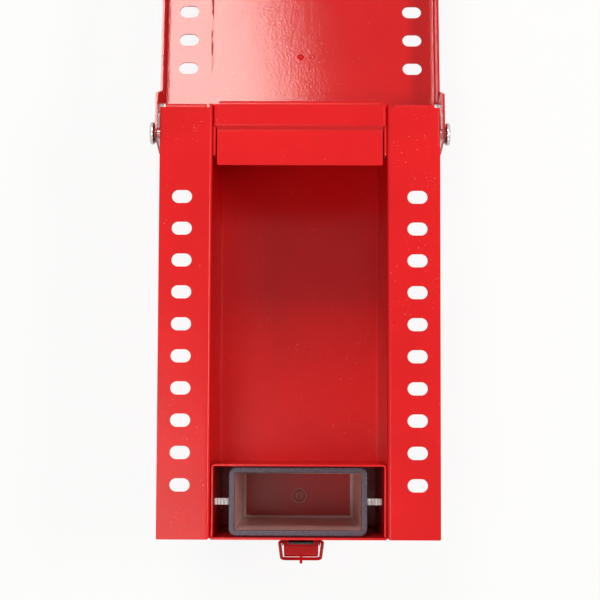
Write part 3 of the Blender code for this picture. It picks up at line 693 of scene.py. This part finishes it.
def hinge_bridge():
    """The fixed plate over the back of the well, with a joggle, two cheeks and a rear drop."""
    bend = bpy.context.scene.lockout_sheet.bend
    cheek, cheek_front, cheek_bottom = 60 * MM, 114 * MM, 136 * MM
    half, strip_half, drop_half = cheek - bend, 56.8 * MM, 55.5 * MM
    front, back, drop_bottom = 134.8 * MM, 148.2 * MM, 98 * MM
    step_back, step_down, strip_front = 3 * MM, 2.8 * MM, 107.5 * MM
    step_foot = front - step_back
    piece = blank("hinge_bridge", 2 * half, back - front, (0, (front + back) / 2, FLANGE_TOP))
    for side in (-1, 1):
        pick(piece, "EDGE", open_edge(lambda p: close(p.x, side * half)))
        fold((side, 0, 0), DOWN, FLANGE_TOP - bend - cheek_bottom)
    pick(piece, "EDGE", open_edge(lambda p: close(p.y, front) and abs(p.x) > cheek - 0.1 * MM))
    draw((0, cheek_front - front, 0))
    round_corners(piece, 3 * MM, lambda v: close(v.co.y, cheek_front), steps=6)
    pick(piece, "EDGE", open_edge(lambda p: close(p.y, front) and close(p.z, FLANGE_TOP)))
    draw((0, -step_back, -step_down))
    widen(strip_half / half)
    draw((0, strip_front - step_foot, 0))
    round_corners(piece, 1.5 * MM, lambda v: close(v.co.y, strip_front))
    pick(piece, "EDGE", lambda e: not e.is_boundary and abs(middle(e).x) < MM
         and (close(middle(e).y, front) or close(middle(e).y, step_foot)))
    bpy.ops.mesh.bevel(offset=0.9 * MM, segments=4)
    pick(piece, "EDGE", open_edge(lambda p: close(p.y, back) and close(p.z, FLANGE_TOP)))
    draw((0, 1.3 * MM, 0))
    widen(drop_half / half)
    fold((0, 1, 0), DOWN, FLANGE_TOP - bend - drop_bottom)
    round_corners(piece, 1.5 * MM, lambda v: close(v.co.z, drop_bottom))
    thicken(piece, UP)
    soften(piece)
    return piece


def compartment_wall():
    """The U-shaped divider that makes the front compartment."""
    bend = bpy.context.scene.lockout_sheet.bend
    half, face, leg_end, low, top = 59.9 * MM - bend, -98.8 * MM, -148.2 * MM, 1.8 * MM, 153.4 * MM
    piece = blank("compartment_wall", 2 * half, top - low, (0, face, (low + top) / 2), (QUARTER, 0, 0))
    for side in (-1, 1):
        pick(piece, "EDGE", open_edge(lambda p: close(p.x, side * half)))
        fold((side, 0, 0), (0, -1, 0), face - bend - leg_end)
    thicken(piece, (0, 1, 0))
    soften(piece)
    return piece


def seam_welds(word, side):
    """The ground welds up the corners of the well and along its base."""
    x, end = side * 60.25 * MM, 147 * MM
    for name, y, top in (("front", -148.3 * MM, 150.5 * MM), ("rear", 149.2 * MM, 150 * MM)):
        yield weld_bead(f"corner_weld_{name}_{word}", (x, y, 3 * MM), (x, y, top),
                        width=2.2 * MM, outward=(1, 0, 0))
    yield weld_bead(f"base_weld_{word}", (x, -end, MM), (x, end, MM), width=2.6 * MM, outward=UP)


def sink(step, shrink, centre):
    """Draws the picked face out along a step and shrinks it about a centre."""
    bpy.ops.mesh.extrude_region_move(TRANSFORM_OT_translate={"value": step})
    bpy.ops.transform.resize(value=(*shrink, 1), center_override=centre)


def clear_bin():
    """The moulded bin: tapered walls, and a wide rim with a lip."""
    rim_width, rim_depth, rim_inset = 95.2 * MM, 47.4 * MM, 4.1 * MM
    width, depth, round_off = 83.6 * MM, 35.6 * MM, 2.6 * MM
    centre = (*BIN_CENTRE.xy, 0)
    piece = blank("moulded_bin", rim_width, rim_depth, (*BIN_CENTRE.xy, BIN_TOP))
    round_corners(piece, 5.4 * MM, lambda v: True, steps=8)
    pick(piece, "FACE")
    bpy.ops.mesh.inset(thickness=rim_inset)
    taper = (width / (rim_width - 2 * rim_inset), depth / (rim_depth - 2 * rim_inset))
    sink((0, 0, BIN_FLOOR + round_off - BIN_TOP), taper, centre)
    for step in range(5):
        turns = [QUARTER * number / 5 for number in (step, step + 1)]
        drop = round_off * (math.sin(turns[1]) - math.sin(turns[0]))
        before, after = [2 * round_off * (1 - math.cos(turn)) for turn in turns]
        sink((0, 0, -drop), ((width - after) / (width - before), (depth - after) / (depth - before)), centre)
    pick(piece, "EDGE", open_edge(lambda p: close(p.z, BIN_TOP)))
    draw((0, 0, -4 * MM))
    modify(piece, "BEVEL", width=0.9 * MM, segments=4, limit_method="ANGLE", angle_limit=math.radians(50))
    thicken(piece, UP)
    soften(piece, 0.2 * MM, angle=60)
    return piece


def gate_mark():
    """The ring and nub that the mould's gate leaves on the bin's floor."""
    place = (0.3 * MM, -125.4 * MM, BIN_FLOOR + 0.02 * MM)
    rings = ((0.93, 1.0), (0.84, 1.0), (0.76, 0.2), (0.5, 0.2), (0.42, 1.4), (0.3, 1.7), (0.12, 1.2))
    return round_mark("gate_mark", place, size=5.6 * MM, height=0.24 * MM, rings=rings)


def bin_grip(word, side):
    """A ribbed grip tab on the end of the bin's rim."""
    start, end, width = 47.4 * MM, 57.6 * MM, 4.4 * MM
    low, top = 143.6 * MM, 144.4 * MM
    piece = block("bin_grip_" + word, (end - start, width, top - low),
                  (BIN_CENTRE.x + side * (start + end) / 2, BIN_CENTRE.y, (low + top) / 2))
    ribs = 4
    pitch = (end - start - 1.4 * MM) / ribs
    for rib in range(ribs):
        place = BIN_CENTRE.x + side * (start + 0.9 * MM + pitch * (rib + 0.5))
        lug = block("rib", (pitch * 0.6, width, 2.4 * MM), (place, BIN_CENTRE.y, top + 0.9 * MM))
        cut(piece, lug, "UNION")
    soften(piece, 0.22 * MM)
    return piece


def open_lid(piece, slide=LID_SLIDE):
    """Throws a piece that was drawn shut right back, and out along its slotted ears."""
    swing = Matrix.Translation(PIVOT) @ Matrix.Rotation(-LID_OPEN, 4, "X")
    return settle(piece, swing @ Matrix.Translation(-PIVOT - Vector((0, slide, 0))))


def lid_cover():
    """The lid plate with its skirts, its folded front and the joggled ears of the hinge."""
    bend = bpy.context.scene.lockout_sheet.bend
    face, ear = 98.9 * MM, 100.6 * MM
    half, jog, rear = face - bend, 112 * MM, 119.2 * MM
    foot, skirt_top = 128.8 * MM, LID_TOP - bend
    ear_line = [(y * MM, drop * MM) for y, drop in ((115, 6), (119.2, 15.8), (121, 19.8), (152.5, 19.8))]
    piece = blank("lid_cover", 2 * half, jog - FRONT, (0, (FRONT + jog) / 2, LID_TOP))
    for side in (-1, 1):
        def skirt_end(y):
            return open_edge(lambda p: close(p.y, y) and close(p.x, side * face) and p.z < skirt_top)

        pick(piece, "EDGE", open_edge(lambda p: close(p.x, side * half)))
        fold((side, 0, 0), DOWN, skirt_top - foot)
        pick(piece, "EDGE", skirt_end(FRONT))
        draw((0, -2.2 * MM, 0))
        pick(piece, "EDGE", skirt_end(jog))
        draw((side * (ear - face), ear_line[0][0] - jog, 0))
        draw(*((0, after - before, 0) for (before, _), (after, _) in zip(ear_line, ear_line[1:])))
        for y, drop in ear_line:
            pick(piece, "VERT", lambda v: close(v.co.y, y) and close(v.co.x, side * ear)
                 and close(v.co.z, foot))
            push((0, 0, -drop))
    pick(piece, "EDGE", open_edge(lambda p: close(p.y, FRONT) and close(p.z, LID_TOP)))
    fold((0, -1, 0), DOWN, skirt_top - foot)
    pick(piece, "EDGE", open_edge(lambda p: close(p.y, jog) and close(p.z, LID_TOP)))
    draw((0, rear - jog, 0))
    round_corners(piece, 5.5 * MM, lambda v: close(v.co.y, ear_line[-1][0]), steps=7)
    round_corners(piece, 1.2 * MM, lambda v: close(v.co.y, rear) and close(v.co.z, LID_TOP))
    thicken(piece, UP)
    slot_width = 8.2 * MM
    for side in (-1, 1):
        punch_slots(piece, LID_TOP, side)
        slot = block("ear_slot", (10 * MM, slot_width + LID_SLIDE, slot_width),
                     (side * ear, PIVOT.y + LID_SLIDE / 2, PIVOT.z))
        pick(slot, "EDGE", lambda edge: close(middle(edge).x, side * ear))
        bpy.ops.mesh.bevel(offset=slot_width / 2 - 0.01 * MM, segments=12)
        cut(piece, slot)
    soften(piece)
    return open_lid(piece)


def round_mark(name, place, size, height, rings):
    """A low round mark on a level face, made of rings of (share of the radius, share of the height)."""
    corners, width = 40, 1.0
    piece = begin(name, bpy.ops.mesh.primitive_circle_add, vertices=corners, radius=size, fill_type="NGON",
                  location=place)
    for scale, lift in rings:
        pick(piece, "FACE", lambda face: len(face.verts) == corners)
        bpy.ops.mesh.inset(thickness=(width - scale) * size)
        width = scale
        pick(piece, "FACE", lambda face: len(face.verts) == corners)
        mesh = bmesh.from_edit_mesh(piece.data)
        now = next(middle(face).z for face in mesh.faces if face.select)
        push((0, 0, place[2] + lift * height - now))
    if height < 0:
        pick(piece, "FACE")
        bpy.ops.mesh.flip_normals()
    modify(piece, "SOLIDIFY", thickness=0.12 * MM, offset=-1)
    return shade(piece, angle=60)


def weld_mark(number, x, y, depth):
    """The pit and ring that a stud weld leaves on the lid's inner face, drawn on the shut lid."""
    under = LID_TOP - bpy.context.scene.lockout_sheet.thickness - 0.02 * MM
    rings = ((0.86, 0.5), (0.66, 1.0), (0.46, 0.6), (0.3, -0.3), (0.12, -0.5))
    mark = round_mark(f"weld_mark_{number}", (x, y, under), size=2.4 * MM, height=-depth, rings=rings)
    return open_lid(mark)


def hinge_pin(word, side):
    """A clevis pin with a turned, slightly domed head and a groove for its clip."""
    profile = [(0, 105.9), (3.4, 105.9), (5.2, 105.75), (6.6, 105.6), (7.5, 105.3), (7.85, 104.9), (8, 104.4),
               (8, 103.4), (7.8, 102.9), (7.2, 102.5), (3.8, 102.5), (3.8, 95.75), (3.35, 95.6), (3.35, 94.0),
               (3.8, 93.85), (3.8, 92.6), (3.2, 92.0), (0, 92.0)]
    return lathe("hinge_pin_" + word, profile, PIVOT, side)


def hinge_washer(word, side):
    """The dark washer between a pin's head and the lid's ear."""
    profile = [(4.1, 101.2), (4.3, 102.2), (6.2, 102.2), (6.6, 101.9), (6.6, 101.2), (6.2, 100.9),
               (4.3, 100.9), (4.1, 101.2)]
    return lathe("hinge_washer_" + word, profile, PIVOT, side, steps=48)


def e_clip(word, side):
    """A spring clip in the pin's groove: a plate with three prongs and a mouth, turned with the lid."""
    x, radius, thickness, mouth_width = side * 94.8 * MM, 6.9 * MM, 1.2 * MM, 5.6 * MM
    piece = begin("e_clip_" + word, bpy.ops.mesh.primitive_cylinder_add, vertices=64, radius=radius,
                  depth=thickness, location=(x, PIVOT.y, PIVOT.z), rotation=(0, QUARTER, 0))
    drill(piece, (x, PIVOT.y, PIVOT.z), 3.4 * MM)
    cut(piece, block("mouth", (14 * MM, mouth_width, 9 * MM), (x, PIVOT.y, PIVOT.z + 5.2 * MM)))
    for turn in (-1, 1):
        drill(piece, (x, PIVOT.y + turn * 3.7 * MM, PIVOT.z - 1.6 * MM), 1.5 * MM)
    soften(piece, 0.15 * MM)
    return open_lid(piece, slide=0)


def rounded_route(corners, bend, steps=8):
    """The points of a wire's path through corners, each rounded to a bend's radius."""
    corners = [Vector(corner) for corner in corners]
    route = [corners[0]]
    for before, corner, after in zip(corners, corners[1:], corners[2:]):
        back, ahead = (before - corner).normalized(), (after - corner).normalized()
        half = back.angle(ahead) / 2
        centre = corner + (back + ahead).normalized() * bend / math.sin(half)
        first = corner + back * bend / math.tan(half) - centre
        last = corner + ahead * bend / math.tan(half) - centre
        route += [centre + first.slerp(last, step / steps).normalized() * bend for step in range(steps + 1)]
    return route + [corners[-1]]


def toggle_wire():
    """The latch's wire bail, with its ends turned in through the lever."""
    length, hang, wire, bend = 34 * MM, math.radians(25), 1.2 * MM, 3 * MM
    wide, narrow, inner = 15.3 * MM, 14.1 * MM, 5 * MM
    route = rounded_route([(-inner, 0), (-wide, 0), (-narrow, length), (narrow, length), (wide, 0),
                           (inner, 0)], bend)
    data = bpy.data.curves.new("toggle_wire", "CURVE")
    data.dimensions = "3D"
    data.bevel_depth = wire
    data.bevel_resolution = 6
    data.use_fill_caps = True
    spline = data.splines.new("POLY")
    spline.points.add(len(route) - 1)
    for point, place in zip(spline.points, route):
        drop = Vector((place.x, -place.y * math.sin(hang), -place.y * math.cos(hang)))
        point.co = (*(BAIL_PIN + drop), 1)
    piece = bpy.data.objects.new("toggle_wire", data)
    bpy.context.scene.collection.objects.link(piece)
    only(piece)
    bpy.ops.object.convert(target="MESH")
    piece = bpy.context.object
    pick(piece, "VERT")
    bpy.ops.mesh.remove_doubles(threshold=MERGE)
    return shade(piece, angle=40)


def toggle_rivet(number, x, z):
    """A domed rivet through the latch base and the front wall."""
    profile = [(0, 2.75), (0.7, 2.7), (1.4, 2.5), (2.0, 2.2), (2.4, 1.85), (1.3, 1.8), (1.3, -1.8),
               (2.1, -1.8), (2.2, -2.2), (1.9, -2.6), (0, -2.6)]
    piece = lathe(f"toggle_rivet_{number}", profile, (0, 0, 0), steps=32)
    return settle(piece, Matrix.Translation((x, FRONT, z)) @ Matrix.Rotation(-QUARTER, 4, "Z"))


# Stage

# The name, place, target, size and power of each lamp, in metres and watts
LAMPS = (
    ("lid_glow", (-0.265, 1.33, 1.85), (-0.03, 0.22, 0.11), (0.40, 0.64), 23),
    ("left_soft", (-0.45, -0.35, 2.0), (0, 0, 0.1), (0.7, 0.7), 9),
    ("right_soft", (1.35, 0.1, 2.1), (0, 0, 0.1), (0.7, 0.5), 25),
    ("front_fill", (0.3, -2.2, 1.5), (0, 0, 0.1), (1.2, 0.8), 5),
)
LAMP_COLOUR = (1, 0.97, 0.90)

CAMERA_PLACE = Vector((2.7, -77.4, 1353.1)) * MM
CAMERA_TURNS = (("X", 4.345), ("Y", 0.107), ("Z", 0.215))
CAMERA_LENS, CAMERA_SENSOR = 105, 36


def lamp(name, place, target, size, power):
    """A rectangular lamp that faces its target."""
    place, target = Vector(place), Vector(target)
    data = bpy.data.lights.new(name, "AREA")
    data.shape = "RECTANGLE"
    data.size, data.size_y = size
    data.energy = power
    data.color = LAMP_COLOUR
    made = bpy.data.objects.new(name, data)
    bpy.context.scene.collection.objects.link(made)
    made.location = place
    made.rotation_euler = (target - place).to_track_quat("-Z", "Y").to_euler()


def camera_above():
    """A camera almost straight above the open box."""
    data = bpy.data.cameras.new("camera")
    data.lens = CAMERA_LENS
    data.sensor_width = CAMERA_SENSOR
    data.clip_start = 0.05
    camera = bpy.data.objects.new("camera", data)
    bpy.context.scene.collection.objects.link(camera)
    turn = Matrix()
    for axis, degrees in CAMERA_TURNS:
        turn = turn @ Matrix.Rotation(math.radians(degrees), 4, axis)
    camera.matrix_world = Matrix.Translation(CAMERA_PLACE) @ turn
    return camera


def seen_directly(tree):
    """1 for rays from the camera, and for those that a mirror or a clear piece passes on."""
    path = tree.nodes.new("ShaderNodeLightPath")
    rays = [Wire(tree, path.outputs[name])
            for name in ("Is Camera Ray", "Is Glossy Ray", "Is Transmission Ray")]
    return rays[0].maths("MAXIMUM", rays[1]).maths("MAXIMUM", rays[2])


def floor_material():
    """A pale floor that shows white, with a faint shadow under the object."""
    finish = Finish("pale_floor")
    grain = finish.noise(30, 3, 0.6)
    tone = finish.blend(grain, (0.80, 0.80, 0.80), (0.84, 0.84, 0.84))
    finish.set(Base_Color=tone, Roughness=0.9)
    glow = finish.node("Emission", Color=(1, 1, 1), Strength=1.0)
    mixed = finish.node("MixShader")
    feed(finish.tree, mixed.inputs[0], seen_directly(finish.tree) * 0.9)
    finish.tree.links.new(finish.shader.outputs[0], mixed.inputs[1])
    finish.tree.links.new(glow.outputs[0], mixed.inputs[2])
    finish.tree.links.new(mixed.outputs[0], finish.tree.nodes["Material Output"].inputs[0])
    return finish.material


def white_world(tree):
    """A dim studio that shows white."""
    dim, back = 0.11, tree.nodes["Background"]
    back.inputs["Color"].default_value = (1, 1, 1, 1)
    feed(tree, back.inputs["Strength"], seen_directly(tree) * (1 - dim) + dim)


# Operators

class LOCKOUT_OT_box(bpy.types.Operator):
    """Build the box's folded sheets and their welded seams"""

    bl_idname = "lockout.box"
    bl_label = "Box Sheets"

    def execute(self, context):
        coat = powder_coat("red_powder_coat_box")
        for word, side in SIDES:
            dress(flange_wall(word, side), coat, "box", "box_coat", "side_panel_" + word)
        dress(front_base_back(), coat, "box", "box_coat", "tub")
        dress(hinge_bridge(), coat, "box", "box_coat", "rear_bridge")
        dress(compartment_wall(), coat, "box", "box_coat", "partition")
        for word, side in SIDES:
            for bead in seam_welds(word, side):
                dress(bead, coat, "box", "box_coat")
        return {"FINISHED"}


class LOCKOUT_OT_bin(bpy.types.Operator):
    """Build the translucent bin and its grip tabs"""

    bl_idname = "lockout.bin"
    bl_label = "Bin"

    def execute(self, context):
        plastic, milky = bin_plastic(), milky_plastic()
        dress(clear_bin(), plastic, "bin", "bin_plastic", "key_bin")
        for word, side in SIDES:
            dress(bin_grip(word, side), milky, "bin", "bin_plastic")
        dress(gate_mark(), plastic, "bin", "bin_plastic")
        return {"FINISHED"}


class LOCKOUT_OT_lid(bpy.types.Operator):
    """Build the slotted lid, its keeper and the weld marks inside it"""

    bl_idname = "lockout.lid"
    bl_label = "Lid"

    def execute(self, context):
        coat = lid_coat()
        dress(lid_cover(), coat, "lid", "lid_coat", "lid_shell")
        keeper = retouch("latch_keeper", "lid_keeper")
        dress(keeper, powder_coat("red_powder_coat_keeper"), "lid", "latch_coat", "latch_keeper")
        for number, mark in enumerate(WELD_MARKS, 1):
            dress(weld_mark(number, *mark), coat, "lid", "lid_coat")
        return {"FINISHED"}


class LOCKOUT_OT_hinge(bpy.types.Operator):
    """Build the hinge pins, their washers and their spring clips"""

    bl_idname = "lockout.hinge"
    bl_label = "Hinge"

    def execute(self, context):
        steel = tuple(context.scene.lockout_finish.steel)
        turned = turned_steel("turned_stainless_steel", PIVOT.y, PIVOT.z, steel)
        spring = turned_steel("spring_steel", PIVOT.y, PIVOT.z, tint(steel, 0.8), rough=0.3, pitch=0.8 * MM)
        nylon = dark_washer()
        for word, side in SIDES:
            dress(hinge_pin(word, side), turned, "hinge_pins", "stainless", "pivot_pin_" + word)
            dress(hinge_washer(word, side), nylon, "hinge_pins", "washer", "pin_washer_" + word)
            dress(e_clip(word, side), spring, "hinge_pins", "stainless", "pin_clip_" + word)
        return {"FINISHED"}


class LOCKOUT_OT_latch(bpy.types.Operator):
    """Build the toggle latch on the front wall"""

    bl_idname = "lockout.latch"
    bl_label = "Toggle Latch"

    def execute(self, context):
        coat = powder_coat("red_powder_coat_latch", gloss=0.33, peel=0.35, shine=0.02)
        zinc, black = latch_steel("zinc_plated_steel", pale=0.62), latch_steel("blackened_steel", pale=0.05)
        dress(retouch("latch_base", "toggle_base"), coat, "box", "latch_coat", "latch_base")
        staple = retouch("latch_staple", "lock_staple", width=0.35 * MM)
        dress(staple, coat, "box", "latch_coat", "latch_staple")
        dress(retouch("latch_lever", "toggle_lever"), coat, "latch_lever", "latch_coat", "latch_lever")
        dress(toggle_wire(), coat, "latch_bail", "latch_coat", "latch_bail")
        dress(retouch("bail_barrel", "toggle_barrel", width=0.15 * MM), black, "bail_barrel", "latch_steel",
              "bail_barrel")
        dress(retouch("lever_pin", "toggle_pin", width=0.15 * MM), black, "box", "latch_steel", "lever_pin")
        for number, (x, z) in enumerate(RIVET_PLACES, 1):
            rivet = toggle_rivet(number, x, z)
            dress(rivet, zinc, "box", "latch_steel", f"latch_rivet_{number}")
        return {"FINISHED"}


class LOCKOUT_OT_stage(bpy.types.Operator):
    """Set the floor, the lights and the camera"""

    bl_idname = "lockout.stage"
    bl_label = "Stage"

    def execute(self, context):
        scene = context.scene
        scene.view_settings.view_transform = "Standard"
        floor = begin("floor", bpy.ops.mesh.primitive_plane_add, size=8, location=(0, 0, -0.5 * MM))
        floor.data.materials.append(floor_material())
        scene.world = bpy.data.worlds.new("studio")
        scene.world.use_nodes = True
        white_world(scene.world.node_tree)
        for settings in LAMPS:
            lamp(*settings)
        scene.camera = camera_above()
        return {"FINISHED"}


class LOCKOUT_PT_panel(bpy.types.Panel):
    """Lists the steps that build the lockout box"""

    bl_idname = "LOCKOUT_PT_panel"
    bl_label = "Lockout Box"
    bl_space_type = "VIEW_3D"
    bl_region_type = "UI"
    bl_category = "Lockout Box"

    def draw(self, context):
        for group, kind in SETTINGS.items():
            for name in kind.__annotations__:
                self.layout.prop(getattr(context.scene, group), name)
        for operator in STEPS:
            self.layout.operator(operator.bl_idname)


STEPS = (LOCKOUT_OT_stage, LOCKOUT_OT_box, LOCKOUT_OT_bin, LOCKOUT_OT_lid, LOCKOUT_OT_hinge, LOCKOUT_OT_latch)


def register():
    """Registers the classes and puts the settings on the scene."""
    for kind in (*SETTINGS.values(), *STEPS, LOCKOUT_PT_panel):
        bpy.utils.register_class(kind)
    for name, kind in SETTINGS.items():
        setattr(bpy.types.Scene, name, PointerProperty(type=kind))


def unregister():
    """Takes the settings and the classes away again."""
    for name in SETTINGS:
        delattr(bpy.types.Scene, name)
    for kind in reversed((*SETTINGS.values(), *STEPS, LOCKOUT_PT_panel)):
        bpy.utils.unregister_class(kind)


def main():
    """Builds the stage and every piece."""
    register()
    bpy.ops.lockout.stage()
    bpy.ops.lockout.box()
    bpy.ops.lockout.bin()
    bpy.ops.lockout.lid()
    bpy.ops.lockout.hinge()
    bpy.ops.lockout.latch()
    object_mode()


if __name__ == "__main__":
    main()
